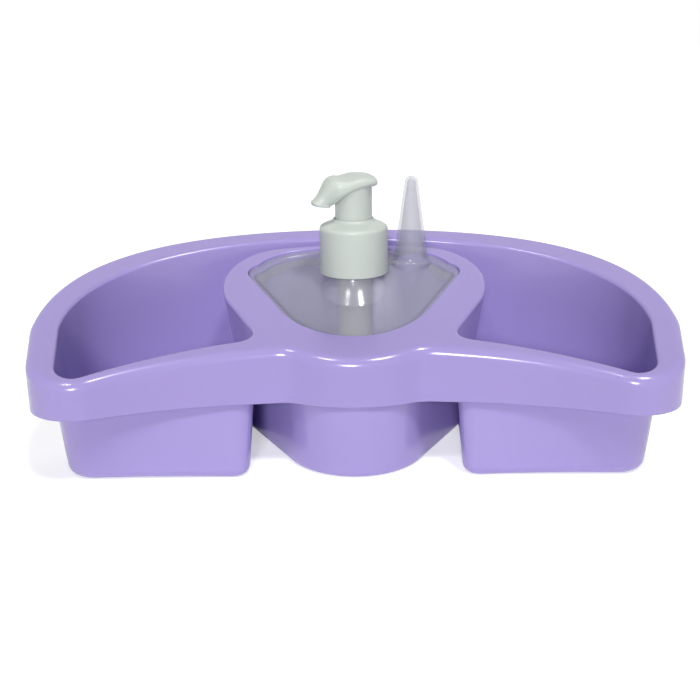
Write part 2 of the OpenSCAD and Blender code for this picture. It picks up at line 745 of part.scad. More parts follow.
// Side outline of the head, from the thumb lip to the spout's tip. Each entry holds a top point and
// a bottom point, as a reach along the spout and a drop below the top, and the half width there.
tip = spout_reach;
lip = lip_reach;
deep = spout_drop;
half_head = head_w / 2;
head_shares = [
    [[-lip, deep * 0.27], [-lip, deep * 0.36], half_head * 0.46],
    [[-lip * 0.95, deep * 0.15], [-lip * 0.96, deep * 0.42], half_head * 0.68],
    [[-lip * 0.78, deep * 0.05], [-lip * 0.8, deep * 0.45], half_head * 0.9],
    [[-lip * 0.4, 0], [-lip * 0.4, deep * 0.52], half_head],
    [[0, 0], [0, deep * 0.62], half_head],
    [[tip * 0.16, deep * 0.05], [tip * 0.19, deep * 0.75], half_head * 0.97],
    [[tip * 0.34, deep * 0.15], [tip * 0.36, deep * 0.9], half_head * 0.9],
    [[tip * 0.52, deep * 0.28], [tip * 0.5, deep * 1.04], half_head * 0.8],
    [[tip * 0.68, deep * 0.47], [tip * 0.62, deep * 1.11], mix(half_head, tip_w / 2, 0.55)],
    [[tip * 0.82, deep * 0.64], [tip * 0.73, deep * 1.15], mix(half_head, tip_w / 2, 0.82)],
    [[tip * 0.93, deep * 0.8], [tip * 0.83, deep * 1.16], tip_w / 2],
    [[tip, deep * 0.92], [tip * 0.91, deep * 1.16], tip_w / 2]];
head_n = 20;
square_share = 0.78;

function head_ring(s) = [for (k = [0:head_n - 1])
    let (a = -360 * k / head_n, m = (s[0] + s[1]) / 2, h = (s[0] - s[1]) / 2,
        c = sign(cos(a)) * pow(abs(cos(a)), square_share),
        v = sign(sin(a)) * pow(abs(sin(a)), square_share), q = m + v * h)
    [q[0], c * s[2], -q[1]]];

module pump_head() {
    socket_r = stem_r + fit_gap;
    bore_top = head_z - roof_drop;
    skirt_top = head_z - skirt_drop;
    end = head_shares[len(head_shares) - 1];
    mouth = (end[0] + end[1]) / 2;
    from = [0, -stem_drop - head_wall];
    to = [mouth[0], -mouth[1]];
    run = to - from;
    color([0.93, 0.94, 0.92]) at_pump() rotate([0, 0, 180 + spout_turn]) difference() {
        union() {
            translate([0, 0, head_z]) loft([for (s = head_shares) head_ring(s)]);
            translate([0, 0, skirt_foot]) cylinder(r = head_r, h = skirt_top - skirt_foot, $fn = round_n);
        }
        difference() {
            translate([0, 0, skirt_foot - over])
                cylinder(r = head_r - head_wall, h = bore_top - skirt_foot + over, $fn = round_n);
            translate([0, 0, boss_foot])
                cylinder(r = socket_r + head_wall, h = bore_top - boss_foot + over, $fn = round_n);
        }
        translate([0, 0, boss_foot - over])
            cylinder(r = socket_r, h = stem_top - boss_foot + over, $fn = round_n);
        translate([from[0], 0, head_z + from[1]]) rotate([0, atan2(run[0], run[1]), 0])
            cylinder(r = tip_t / 3, h = norm(run) + 2 * over, $fn = 24);
    }
}

tray();
lid();
pump_closure();
neck_gasket();
pump_barrel();
guide_collar();
dip_tube();
inlet_ball();
return_spring();
piston_seal();
pump_stem();
stem_foot();
pump_head();
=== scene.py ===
"""Soap pump caddy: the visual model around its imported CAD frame.

Sizes are in millimetres here until a mesh is made. Plan points are measured from the pump axis.
"""

import math

import bmesh
import bpy
import numpy as np
from mathutils import Matrix, Vector


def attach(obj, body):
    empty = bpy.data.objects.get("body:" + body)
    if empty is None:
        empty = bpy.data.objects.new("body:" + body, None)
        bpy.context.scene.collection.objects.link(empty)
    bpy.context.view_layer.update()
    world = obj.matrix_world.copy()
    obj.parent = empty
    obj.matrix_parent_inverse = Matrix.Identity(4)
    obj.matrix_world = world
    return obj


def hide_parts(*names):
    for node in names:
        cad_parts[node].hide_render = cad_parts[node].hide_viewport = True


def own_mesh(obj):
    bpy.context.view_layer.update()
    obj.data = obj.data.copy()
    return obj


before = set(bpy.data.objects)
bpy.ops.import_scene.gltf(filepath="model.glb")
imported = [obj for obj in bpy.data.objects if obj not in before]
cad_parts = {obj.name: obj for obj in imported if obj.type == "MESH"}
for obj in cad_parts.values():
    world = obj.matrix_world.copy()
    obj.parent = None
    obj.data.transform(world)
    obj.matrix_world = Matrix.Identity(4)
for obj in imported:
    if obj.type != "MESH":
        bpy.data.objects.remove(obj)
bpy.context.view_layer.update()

MM = 0.001
PUMP_Y = 14.55
NEAR_ZERO = 1e-9

# The tray's rim, walls and skirt
TRAY_W = 305.5
HALF_W = TRAY_W / 2
REAR, AHEAD, END_REACH, END_R = 48.6, 35.6, 77.7, 22.8
NOSE_REACH, NOSE_R, WAIST_X = 63.5, 55.0, 30.5
RIM_H, RIM_SLOPE, RIM_BOW = 79.0, 0.33, 0.658
EDGE_R, LIP_R, WALL = 4.0, 1.8, 2.4
SKIRT_H, SKIRT_SLOPE, SKIRT_FLARE, SKIRT_EDGE_R = 32.0, 0.05, 0.2, 1.0

# The bins
RIM_SIDE, RIM_REAR, BIN_CORNER_R, BIN_LEAN, BIN_BOW = 14.0, 10.8, 10.2, 5.0, 0.607
BIN_IN_X, BIN_FRONT, BIN_IN_R = 52.4, 60.0, 3.5
FLOOR_T, FLOOR_R, FLOOR_BOW = 2.4, 5.0, 0.62

# The reservoir
RES_NOSE_R, RES_NOSE_REACH, LOBE_X, LOBE_BACK, LOBE_R, FOOT_R = 35.5, 63.2, 41.5, 2.0, 13.5, 3.0
BULB_R, BULB_X, BULB_BACK = 31.0, 65.0, 31.6

# The lid and its ring post
LID_HALF_W, LID_FRONT_R, LID_FRONT, LID_BACK = 53.2, 41.0, 45.2, 29.0
LID_CORNER_R, LID_CORNER_BACK, LID_SINK, LID_T = 7.0, 7.0, 0.8, 2.0
LEDGE_W, RIB_H, LID_GAP = 2.6, 4.0, 0.4
SEAT = -LID_SINK - LID_T
SEAT_EDGE_R, LID_EDGE_R, LID_CHAMFER = 0.5, 0.4, 0.3
BELL_DROP, BELL_REACH = 12.0, 8.5
POST_X, POST_BACK, POST_H, POST_R, POST_TIP_R = 29.2, 18.0, 43.0, 8.5, 3.5
POST_FLARE, POST_FLARE_H, POST_WALL = 2.4, 3.4, 1.4

# Play between pieces, how deep they root in each other, and how far a cutter passes what it cuts
RUN_GAP, FREE_GAP, FIT_GAP, ROOT, OVER = 0.1, 0.3, 0.05, 0.6, 1.0

# The pump
CLOSURE_Z, CLOSURE_R, CLOSURE_H, SHOULDER_H, CLOSURE_WALL = RIM_H + 4.0, 16.75, 22.0, 5.6, 2.6
NECK_R, NECK_BORE_R, NECK_H = 13.7, 11.4, 10.4
GASKET_T, FLANGE_T, CAP_T = 0.8, 1.4, 1.2
BARREL_R, BARREL_WALL, BARREL_LEN = 8.7, 1.1, 62.0
DIP_R, DIP_SOCKET, BALL_R, BALL_LIFT = 2.6, 8.0, 2.4, 1.2
STEM_R = 3.9
SPRING_R, WIRE_D, SPRING_TURNS, SPRING_LEN, STROKE = 5.0, 1.0, 9, 25.0, 8.0
HEAD_R, HEAD_WALL, HEAD_TOP = 9.05, 1.4, 50.0
SPOUT_TURN, TIP_T = 20.0, 4.6
INCH = 25.4
THREAD_PITCH = INCH / 6

# Levels of the pump's pieces over the table
NECK_TOP = CLOSURE_Z + NECK_H
GASKET_Z = NECK_TOP + RUN_GAP
FLANGE_Z = GASKET_Z + GASKET_T
COLLAR_Z = FLANGE_Z + FLANGE_T
GRIP_Z = COLLAR_Z + CAP_T + FREE_GAP
SHOULDER_Z = CLOSURE_Z + CLOSURE_H
CLOSURE_TOP = SHOULDER_Z + SHOULDER_H
HEAD_Z = CLOSURE_Z + HEAD_TOP
BARREL_FOOT = NECK_TOP - BARREL_LEN
STACK_R = CLOSURE_R - CLOSURE_WALL - FREE_GAP - RUN_GAP


# Points and plan curves
def vec(*p):
    return np.array(p, float)


def mix(a, b, t):
    return a + (b - a) * t


def curve(points, n):
    """A Bezier curve of any order through its end points, without its last point."""
    t = (np.arange(n) / n)[:, None]
    rows = [np.repeat(np.array([p], float), n, 0) for p in points]
    while len(rows) > 1:
        rows = [mix(a, b, t) for a, b in zip(rows, rows[1:])]
    return rows[0]


def circle(n):
    """Angles all the way round in even steps."""
    return 2 * np.pi * np.arange(n) / n


def quarter(steps, end=90):
    """Steps along a unit rounding: how far it has gone one way, and has left the other way."""
    turns = [math.radians(end * k / steps) for k in range(steps + 1)]
    return [(1 - math.cos(a), 1 - math.sin(a)) for a in turns]


def on_arc(c, r, a):
    return np.array(c, float) + r * vec(math.cos(math.radians(a)), math.sin(math.radians(a)))


def arc(c, r, start, end, n):
    a = np.radians(start + (end - start) * np.arange(n) / n)
    return np.array(c, float) + r * np.c_[np.cos(a), np.sin(a)]


def bow(a, b, ahead, share, n):
    """The bowed back of an outline, from its middle to its widest place."""
    return curve([(0, b - ahead), (a * share, b - ahead), (a, b * share - ahead), (a, -ahead)], n)


def both(half):
    """A right half, from the back to the front, and its mirror image as one clockwise ring."""
    other = half[::-1]
    other = other[np.abs(other[:, 0]) > NEAR_ZERO] * [-1, 1]
    return np.vstack([half, other])


def soften(ring, sigma):
    """Rounds off the kinks where stretches of a ring meet, and leaves its size as it is."""
    def blur(points):
        seg = np.linalg.norm(np.roll(points, -1, 0) - points, axis=1)
        s = np.r_[0, np.cumsum(seg)]
        d = np.abs(s[:-1, None] - s[None, :-1])
        d = np.minimum(d, s[-1] - d)
        k = np.exp(-((d / sigma) ** 2) / 2) * ((seg + np.roll(seg, 1)) / 2)
        return (k[:, :, None] * points[None]).sum(1) / k.sum(1)[:, None]
    once = blur(ring)
    return 2 * once - blur(once)


def inset(ring, d):
    """A clockwise ring moved inward, point by point."""
    run = np.roll(ring, -1, 0) - np.roll(ring, 1, 0)
    run /= np.linalg.norm(run, axis=1)[:, None]
    return ring + d * np.c_[run[:, 1], -run[:, 0]]


def rim_at(y):
    return RIM_H + RIM_SLOPE * y


def skirt_at(y):
    return SKIRT_H - SKIRT_SLOPE * y


def on_rim(ring, sink):
    return np.c_[ring, rim_at(ring[:, 1]) - sink]


def on_skirt(ring, sink):
    return np.c_[ring, skirt_at(ring[:, 1]) - sink]


def level(ring, z):
    return np.c_[ring, np.full(len(ring), float(z))]


# Meshes
def make(name, verts, faces):
    """A mesh object from millimetre points about the pump axis."""
    verts = (np.array(verts, float) + [0, PUMP_Y, 0]) * MM
    mesh = bpy.data.meshes.new(name)
    mesh.from_pydata([tuple(v) for v in verts], [], [tuple(int(i) for i in f) for f in faces])
    mesh.validate()
    obj = bpy.data.objects.new(name, mesh)
    bpy.context.scene.collection.objects.link(obj)
    return obj


def loft(name, rings):
    """A closed solid through clockwise rings of equal count, from the lowest to the highest."""
    n, rows = len(rings[0]), len(rings)
    faces = []
    for k in range(rows - 1):
        for i in range(n):
            j = (i + 1) % n
            faces.append((k * n + i, (k + 1) * n + i, (k + 1) * n + j, k * n + j))
    faces.append(tuple(range(n)))
    faces.append(tuple((rows - 1) * n + i for i in range(n - 1, -1, -1)))
    return make(name, np.vstack(rings), faces)


def turned(name, profile, sides=160, centre=(0, 0), foot=0.0):
    """A solid of revolution from a closed profile of radius and height, given anticlockwise."""
    pts, faces, index = [], [], []
    for r, h in profile:
        if r < NEAR_ZERO:
            index.append([len(pts)] * sides)
            pts.append((centre[0], centre[1], h + foot))
            continue
        index.append(list(range(len(pts), len(pts) + sides)))
        for i in range(sides):
            a = 2 * math.pi * i / sides
            pts.append((centre[0] + r * math.cos(a), centre[1] + r * math.sin(a), h + foot))
    for k in range(len(profile)):
        a, b = index[k], index[(k + 1) % len(profile)]
        for i in range(sides):
            j = (i + 1) % sides
            f = [a[i], a[j], b[j], b[i]]
            f = [v for q, v in enumerate(f) if v not in f[:q]]
            if len(f) > 2:
                faces.append(f)
    return make(name, pts, faces)


def upright(name, r, low, high):
    """A plain round solid about the pump axis."""
    return turned(name, [(0, low), (r, low), (r, high), (0, high)])


def rounded(corners, n=5):
    """A closed profile from corners of radius, height and how far the rounding cuts back."""
    most_of_side = 0.45
    out = []
    for k, (x, z, reach) in enumerate(corners):
        p = vec(x, z)
        ways = [vec(*corners[q][:2]) - p for q in (k - 1, (k + 1) % len(corners))]
        sizes = [np.linalg.norm(way) for way in ways]
        d = min(reach, *(most_of_side * size for size in sizes))
        if d <= 0:
            out.append(p)
            continue
        a, b = (p + way / size * d for way, size in zip(ways, sizes))
        out += list(curve([a, p, b], n)) + [b]
    return out


def swept(name, rings):
    """A closed tube through rings of points in space, capped at each end, its faces turned out."""
    obj = loft(name, rings)
    mesh = bmesh.new()
    mesh.from_mesh(obj.data)
    if mesh.calc_volume(signed=True) < 0:
        obj.data.flip_normals()
    mesh.free()
    return obj


def rod(name, start, way, size, r, side, up, sides):
    """A straight round solid from a point, to cut a bore with."""
    a = circle(sides)
    ring = r * (np.cos(a)[:, None] * side + np.sin(a)[:, None] * up)
    return swept(name, [start + ring + way * t for t in (0.0, size)])


def thread(name, r_root, r_crest, phase=0.0):
    """A right-hand screw ridge about the neck, whose two ends run out into its wall."""
    turns, steps_a_turn, fades_a_turn, least = 1.3, 90, 6, 0.1
    foot, half_root, half_crest = CLOSURE_Z + 3.9, 0.75, 0.4
    steps = int(turns * steps_a_turn)
    rings = []
    for k in range(steps + 1):
        t = k / steps
        fade = min(1.0, t * turns * fades_a_turn, (1 - t) * turns * fades_a_turn)
        a = 2 * math.pi * (t * turns + phase)
        crest = mix(r_root, r_crest, max(least, fade))
        z = foot + THREAD_PITCH * t * turns
        section = [(r_root, -half_root), (crest, -half_crest), (crest, half_crest), (r_root, half_root)]
        rings.append([(r * math.cos(a), r * math.sin(a), z + h) for r, h in section])
    return swept(name, [np.array(ring) for ring in rings])


def mirrored(obj):
    other = obj.copy()
    other.data = obj.data.copy()
    bpy.context.scene.collection.objects.link(other)
    other.data.transform(Matrix.Scale(-1, 4, (1, 0, 0)))
    other.data.flip_normals()
    return other


FEWEST_FACES = 4


def combine(obj, how, *others):
    """Applies booleans one after another and drops the other solids."""
    for other in others:
        mod = obj.modifiers.new("b", "BOOLEAN")
        mod.operation = how
        mod.solver = "MANIFOLD"
        mod.object = other
    deps = bpy.context.evaluated_depsgraph_get()
    mesh = bpy.data.meshes.new_from_object(obj.evaluated_get(deps))
    obj.modifiers.clear()
    old = obj.data
    obj.data = mesh
    bpy.data.meshes.remove(old)
    for other in others:
        data = other.data
        bpy.data.objects.remove(other)
        bpy.data.meshes.remove(data)
    if len(obj.data.polygons) < FEWEST_FACES:
        raise RuntimeError(f"a boolean left nothing of {obj.name}")
    return obj


def cut(obj, *others):
    return combine(obj, "DIFFERENCE", *others)


def join(obj, *others):
    return combine(obj, "UNION", *others)


def common(obj, *others):
    return combine(obj, "INTERSECT", *others)


# Outlines of the tray. A bin's mouth and floor have the same number of points on each stretch.
BACK_N, SIDE_N, CORNER_N, FRONT_N, INNER_N, LINK_N, BULB_N = 70, 15, 30, 35, 20, 10, 40
END_N, WING_N, WAIST_N, NOSE_N = 40, 45, 20, 30
END_FROM, END_TO = -11.5, -118
MOUTH_FROM, MOUTH_TO = -9.5, -100
BULB_FROM, BULB_TO = -31, 78
LOBE_SIDE, LOBE_TIP = -20, 60
RIM_SOFTNESS, FLOOR_SOFTNESS, LID_SOFTNESS = 2.4, 1.2, 1.6
# Where the bends stand: shares of the way from the waist to the side, and along a bin's inner side
WING_BEND, FRONT_BEND, INNER_BEND = 0.43, 0.49, 0.7

end_c = vec(HALF_W - END_R - 0.9 * EDGE_R, -(END_REACH - END_R))
nose_c = vec(0, NOSE_R - NOSE_REACH)
waist_y = nose_c[1] - math.sqrt(NOSE_R ** 2 - WAIST_X ** 2)
mouth_w, mouth_back = HALF_W - RIM_SIDE, REAR - RIM_REAR
mouth_c = vec(mouth_w - BIN_CORNER_R - 0.3 * RIM_SIDE, end_c[1] - 0.7 * BIN_CORNER_R)
bulb_c = vec(BULB_X - BULB_R, -LOBE_BACK)
lobe_c = vec(LOBE_X, LOBE_BACK)
floor_w, floor_back = mouth_w - BIN_LEAN, mouth_back - BIN_LEAN
# The point of a bin's floor that its rings are drawn in towards
bin_hub = vec(mix(BIN_IN_X, floor_w, 0.5), -BIN_FRONT * 0.4)


def rim_outline():
    """The rim: its bowed back, round ends, wings, waist and nose."""
    nose_from = math.degrees(math.asin((WAIST_X - 1.4 * EDGE_R) / NOSE_R)) - 90
    wing_start = vec(WAIST_X + 2 * EDGE_R, waist_y - EDGE_R / 3)
    wing_bend = vec(mix(WAIST_X, HALF_W, WING_BEND), waist_y - 1.47 * EDGE_R)
    half = np.vstack([
        bow(HALF_W, REAR + AHEAD, AHEAD, RIM_BOW, BACK_N),
        curve([(HALF_W, -AHEAD), on_arc(end_c, END_R, END_FROM)], SIDE_N),
        arc(end_c, END_R, END_FROM, END_TO, END_N),
        curve([on_arc(end_c, END_R, END_TO), wing_bend, wing_start], WING_N),
        curve([wing_start, (WAIST_X, waist_y), on_arc(nose_c, NOSE_R, nose_from)], WAIST_N),
        arc(nose_c, NOSE_R, nose_from, -90, NOSE_N),
        [[0, -NOSE_REACH]]])
    return soften(both(half), RIM_SOFTNESS)


def mouth_outline():
    """The right bin's mouth, open on the tray's middle line, from the back round to the saddle."""
    inner_end = vec(BIN_IN_X + BIN_IN_R, waist_y + 1.5 * EDGE_R)
    inner_bend = vec(BIN_IN_X - 2.3 * BIN_IN_R, waist_y + 2.1 * EDGE_R)
    front_bend = (mix(WAIST_X, HALF_W, FRONT_BEND), waist_y - EDGE_R / 2)
    bulb_side = on_arc(bulb_c, BULB_R, BULB_FROM)
    bulb_start = mix(bulb_side, inner_bend, INNER_BEND)
    half = np.vstack([
        bow(mouth_w, mouth_back + AHEAD, AHEAD, BIN_BOW, BACK_N),
        curve([(mouth_w, -AHEAD), on_arc(mouth_c, BIN_CORNER_R, MOUTH_FROM)], SIDE_N),
        arc(mouth_c, BIN_CORNER_R, MOUTH_FROM, MOUTH_TO, CORNER_N),
        curve([on_arc(mouth_c, BIN_CORNER_R, MOUTH_TO), front_bend, inner_end], FRONT_N),
        curve([inner_end, inner_bend, bulb_start], INNER_N),
        curve([bulb_start, bulb_side], LINK_N),
        arc(bulb_c, BULB_R, BULB_FROM, BULB_TO, BULB_N),
        curve([on_arc(bulb_c, BULB_R, BULB_TO), (BULB_X / 3, BULB_BACK), (0, BULB_BACK)], INNER_N),
        [[0, BULB_BACK]]])
    ring = soften(np.vstack([half, half[::-1] * [-1, 1]]), RIM_SOFTNESS)[:len(half)]
    ring[[0, -1], 0] = 0
    return ring


def floor_outline():
    """The right bin's floor, which ends in a tip behind the reservoir's lobe."""
    floor_c = vec(floor_w - BIN_CORNER_R, -(BIN_FRONT - BIN_CORNER_R))
    inner_c = vec(BIN_IN_X + BIN_IN_R, -(BIN_FRONT - BIN_IN_R))
    lobe_gap_r = LOBE_R + WALL * 0.4
    tip, side = on_arc(lobe_c, lobe_gap_r, LOBE_TIP), on_arc(lobe_c, lobe_gap_r, LOBE_SIDE)
    bend = mix(side, tip, INNER_BEND) + [WALL / 2, 0]
    ring = np.vstack([
        curve([tip + [0, FLOOR_R], (floor_w * FLOOR_BOW, floor_back - FLOOR_R),
               (floor_w, FLOOR_BOW * (floor_back + AHEAD) - AHEAD), (floor_w, -AHEAD)], BACK_N),
        curve([(floor_w, -AHEAD), on_arc(floor_c, BIN_CORNER_R, 0)], SIDE_N),
        arc(floor_c, BIN_CORNER_R, 0, -90, CORNER_N),
        curve([(floor_c[0], -BIN_FRONT), (inner_c[0], -BIN_FRONT)], FRONT_N),
        arc(inner_c, BIN_IN_R, -90, -180, INNER_N),
        curve([(BIN_IN_X, inner_c[1]), side], LINK_N),
        curve([side, bend], BULB_N),
        curve([bend, tip], INNER_N),
        [tip]])
    return soften(ring, FLOOR_SOFTNESS)


rim_ring, mouth_ring, floor_ring = rim_outline(), mouth_outline(), floor_outline()

# Shares of the way from a bin's floor to its mouth: the floor's radius ends, and the saddle starts
FLOOR_SHARE, SADDLE_SHARE = 0.06, 0.86
# How far the rounding of a mouth's lip turns, in degrees
LIP_TURN = 86


def bin_grow(ring, grow, shift=0.0):
    """A bin's ring grown all round, with its two ends moved straight back, ahead and inward."""
    out = inset(ring, -grow)
    out[0] = (max(0.0, ring[0, 0] - shift), ring[0, 1] + grow)
    out[-1] = (max(0.0, ring[-1, 0] - shift), ring[-1, 1] - grow)
    return out


def bin_ring(share, grow=0.0, shift=0.0):
    """A ring between a bin's floor and its mouth. From the saddle up, its ends are the mouth's own."""
    shares = np.full(len(mouth_ring), share)
    if share >= SADDLE_SHARE:
        shares = mix(1.0, share, np.minimum(1.0, mouth_ring[:, 0] / LOBE_X))
    return bin_grow(mix(floor_ring, mouth_ring, shares[:, None]), grow, shift)


def bin_level(share, grow, drop):
    """A ring of a bin's wall, at its height."""
    ring = bin_ring(share, grow, drop)
    return np.c_[ring, mix(FLOOR_T, rim_at(mouth_ring[:, 1]), share) - drop]


def bin_foot(share, grow, draw):
    """A bin's ring drawn in towards one point of its floor."""
    ring = bin_ring(share, grow, 2 * grow)
    way = bin_hub - ring
    return ring + way * draw / np.linalg.norm(way, axis=1)[:, None]


def bin_base(grow, z):
    """Rings of the radius along a bin's floor."""
    return [level(bin_foot(FLOOR_SHARE * gone, grow, FLOOR_R * left), z + FLOOR_R * gone)
            for gone, left in quarter(6)]


def bin_hollow():
    """The space in the right bin, with its mouth's lip rounded."""
    rows = bin_base(0, FLOOR_T)
    rows += [bin_level(share, 0, 0) for share in np.linspace(FLOOR_SHARE, SADDLE_SHARE, 9)[1:]]
    rows += [on_rim(bin_grow(mouth_ring, LIP_R * gone), LIP_R * left)
             for gone, left in quarter(8, LIP_TURN)]
    rows.append(on_rim(bin_grow(mouth_ring, LIP_R), -OVER))
    return loft("bin_hollow", rows)


def bin_shell():
    """The right bin as a full solid, up to under the rim."""
    rows = bin_base(WALL, 0)
    rows += [bin_level(share, WALL, WALL) for share in np.linspace(FLOOR_SHARE, SADDLE_SHARE, 5)[1:]]
    rows.append(on_rim(bin_grow(mouth_ring, WALL), WALL / 2))
    return loft("bin_shell", rows)


# Outlines of the reservoir and the lid
LID_CORNER_FROM, LID_CORNER_TO = 70, -32
LID_BACK_BOW = 0.86
# The point that bearings are taken from, and how many are taken
star = vec(0, -8)
BEARINGS = 240


def lid_outline():
    """The lid: a nearly straight back, two round corners and a round front."""
    corner_c, front_c = vec(LID_HALF_W - LID_CORNER_R, LID_CORNER_BACK), vec(0, LID_FRONT_R - LID_FRONT)
    corner_from, corner_to = (on_arc(corner_c, LID_CORNER_R, a) for a in (LID_CORNER_FROM, LID_CORNER_TO))
    half = np.vstack([
        curve([(0, LID_BACK), (corner_c[0] * LID_BACK_BOW, LID_BACK), corner_from], CORNER_N),
        arc(corner_c, LID_CORNER_R, LID_CORNER_FROM, LID_CORNER_TO, CORNER_N),
        curve([corner_to, on_arc(front_c, LID_FRONT_R, LID_CORNER_TO)], SIDE_N),
        arc(front_c, LID_FRONT_R, LID_CORNER_TO, -90, END_N),
        [[0, -LID_FRONT]]])
    return soften(both(half), LID_SOFTNESS)


lid_ring = lid_outline()


def by_bearing(ring):
    """A ring's points at even bearings about one point, clockwise from the back."""
    d = ring - star
    a = np.degrees(np.arctan2(d[:, 0], d[:, 1])) % 360
    order = np.argsort(a)
    a, d = a[order], d[order]
    a = np.r_[a[-1] - 360, a, a[0] + 360]
    d = np.vstack([d[-1:], d, d[:1]])
    want = 360 * np.arange(BEARINGS) / BEARINGS
    return star + np.c_[np.interp(want, a, d[:, 0]), np.interp(want, a, d[:, 1])]


def hull_of(points):
    """The taut line round plan points."""
    points = points[np.lexsort((points[:, 1], points[:, 0]))]
    hull = []
    for run in (points, points[::-1]):
        part = []
        for p in run:
            while len(part) > 1:
                u, v = part[-1] - part[-2], p - part[-2]
                if u[0] * v[1] - u[1] * v[0] > NEAR_ZERO:
                    break
                part.pop()
            part.append(p)
        hull += part[:-1]
    return np.array(hull)


def res_outline(grow):
    """The reservoir's foot: one taut line round its nose and its two lobes."""
    nose_points, lobe_points, spacing = 360, 180, 1.5
    hull = hull_of(np.vstack([
        arc((0, RES_NOSE_R - RES_NOSE_REACH), RES_NOSE_R + grow, 0, 360, nose_points),
        arc(lobe_c, LOBE_R + grow, 0, 360, lobe_points),
        arc(lobe_c * [-1, 1], LOBE_R + grow, 0, 360, lobe_points)]))
    dense = np.vstack([curve([a, b], max(1, int(np.linalg.norm(b - a) / spacing)))
                       for a, b in zip(hull, np.roll(hull, -1, 0))])
    return by_bearing(dense)


def res_solid(name, grow, foot, reach, low, high):
    """The reservoir from its rounded foot to two levels under the rim, in the lid's outline there."""
    rows = [level(res_outline(grow - FOOT_R * left), foot + FOOT_R * gone) for gone, left in quarter(6)]
    rows.append(level(res_outline(grow), SKIRT_H))
    top = by_bearing(inset(lid_ring, -reach))
    under = on_rim(top, -low)
    rows += [mix(rows[-1], under, share) for share in (0.25, 0.5, 0.75)]
    rows += [under, on_rim(top, -high)]
    return loft(name, rows)


def lid_prism(grow, low, high, name="lid_prism"):
    """The lid's outline, grown, between two levels over the rim."""
    ring = inset(lid_ring, -grow)
    return loft(name, [on_rim(ring, -low), on_rim(ring, -high)])


# The tray
def tray_block():
    """All that lies within the rim, down to the skirt's foot, with both edges rounded."""
    rows = [on_skirt(inset(rim_ring, -SKIRT_FLARE + SKIRT_EDGE_R * left), -SKIRT_EDGE_R * gone)
            for gone, left in quarter(4)]
    foot = on_skirt(inset(rim_ring, -SKIRT_FLARE), -SKIRT_EDGE_R)
    head = on_rim(rim_ring, EDGE_R)
    rows += [mix(foot, head, share) for share in (0.2, 0.4, 0.6, 0.8)]
    rows += [on_rim(inset(rim_ring, EDGE_R * gone), EDGE_R * left) for gone, left in quarter(12)]
    return loft("tray_shell", rows)


def skirt_hollow():
    """The space inside the skirt, up to under the rim."""
    inner = WALL - SKIRT_FLARE
    rows = [on_skirt(inset(rim_ring, inner - SKIRT_EDGE_R), OVER)]
    rows += [on_skirt(inset(rim_ring, inner - SKIRT_EDGE_R * left), -SKIRT_EDGE_R * gone)
             for gone, left in quarter(4)]
    rows += [on_rim(inset(rim_ring, WALL), EDGE_R + WALL), on_rim(inset(rim_ring, WALL + EDGE_R / 2), WALL)]
    return loft("skirt_hollow", rows)


def lid_recess():
    """The recess that the lid lies in, with its upper edge rounded."""
    rows = [on_rim(lid_ring, -SEAT)]
    rows += [on_rim(inset(lid_ring, -SEAT_EDGE_R * gone), SEAT_EDGE_R * left)
             for gone, left in quarter(4)]
    rows.append(on_rim(inset(lid_ring, -SEAT_EDGE_R), -OVER))
    return loft("seat", rows)


def build_tray():
    """The rim and skirt, the two bins and the reservoir, as one moulding."""
    lap = 0.3
    tray = cut(tray_block(), skirt_hollow())
    shell = bin_shell()
    join(tray, mirrored(shell), shell, res_solid("res_out", 0, 0, WALL, SEAT - WALL, -WALL / 2))
    hollow = bin_hollow()
    inner = res_solid("res_in", -WALL, FLOOR_T, -LEDGE_W, SEAT - WALL - 2 * lap, SEAT - WALL)
    throat = lid_prism(-LEDGE_W, SEAT - WALL - lap, OVER)
    return cut(tray, mirrored(hollow), hollow, inner, throat, lid_recess())


# The lid
WELL_R = CLOSURE_R + 2 * FREE_GAP
WELL_Z = CLOSURE_Z - 2 * FIT_GAP - FREE_GAP
BELL_TOP = WELL_Z - FIT_GAP
BELL_BENDS = [(0, 0), (0.06, 0.28), (0.42, 0.52), (1, 1)]
# The threads' root on the neck, the crests on the neck and in the closure, and how deep they root
NECK_ROOT_R, NECK_CREST_R, CLOSURE_CREST_R, THREAD_ROOT = NECK_R - 1.0, NECK_R - 0.15, NECK_R - 0.65, 0.3


def lid_plate():
    """The flat plate, parallel to the rim, with its lower edge broken and its upper edge rounded."""
    rows = [on_rim(inset(lid_ring, LID_GAP + LID_CHAMFER), -SEAT),
            on_rim(inset(lid_ring, LID_GAP), -SEAT - LID_CHAMFER)]
    rows += [on_rim(inset(lid_ring, LID_GAP + LID_EDGE_R * gone), LID_SINK + LID_EDGE_R * left)
             for gone, left in quarter(5)]
    return loft("lid_moulding", rows)


def bell(name, r, top):
    """The flare round the neck."""
    steps = 24
    run = np.vstack([curve(BELL_BENDS, steps), [[1, 1]]])
    profile = [(0, top - BELL_DROP)]
    profile += [(r + out * BELL_REACH, top - down * BELL_DROP) for out, down in run[::-1]]
    profile.append((0, top))
    return turned(name, profile)


def post(name, inward, tip):
    """The ring post: a tall cone with a flared foot and a round tip."""
    flare_rise, steps = 0.8, 14
    r, tip_r, low = POST_R - inward, POST_TIP_R - inward, -2 * POST_FLARE_H
    turns = [math.radians(90 * k / steps) for k in range(steps + 1)]
    profile = [(0, low), (r + POST_FLARE, low)]
    profile += [(r + POST_FLARE * (1 - math.sin(a)), POST_FLARE_H * (flare_rise - math.cos(a)))
                for a in turns]
    profile += [(tip_r * math.cos(a), POST_H - tip - tip_r * (1 - math.sin(a))) for a in turns[:-1]]
    profile.append((0, POST_H - tip))
    foot = rim_at(POST_BACK) - LID_SINK
    return turned(name, profile, sides=96, centre=(POST_X, POST_BACK), foot=foot)


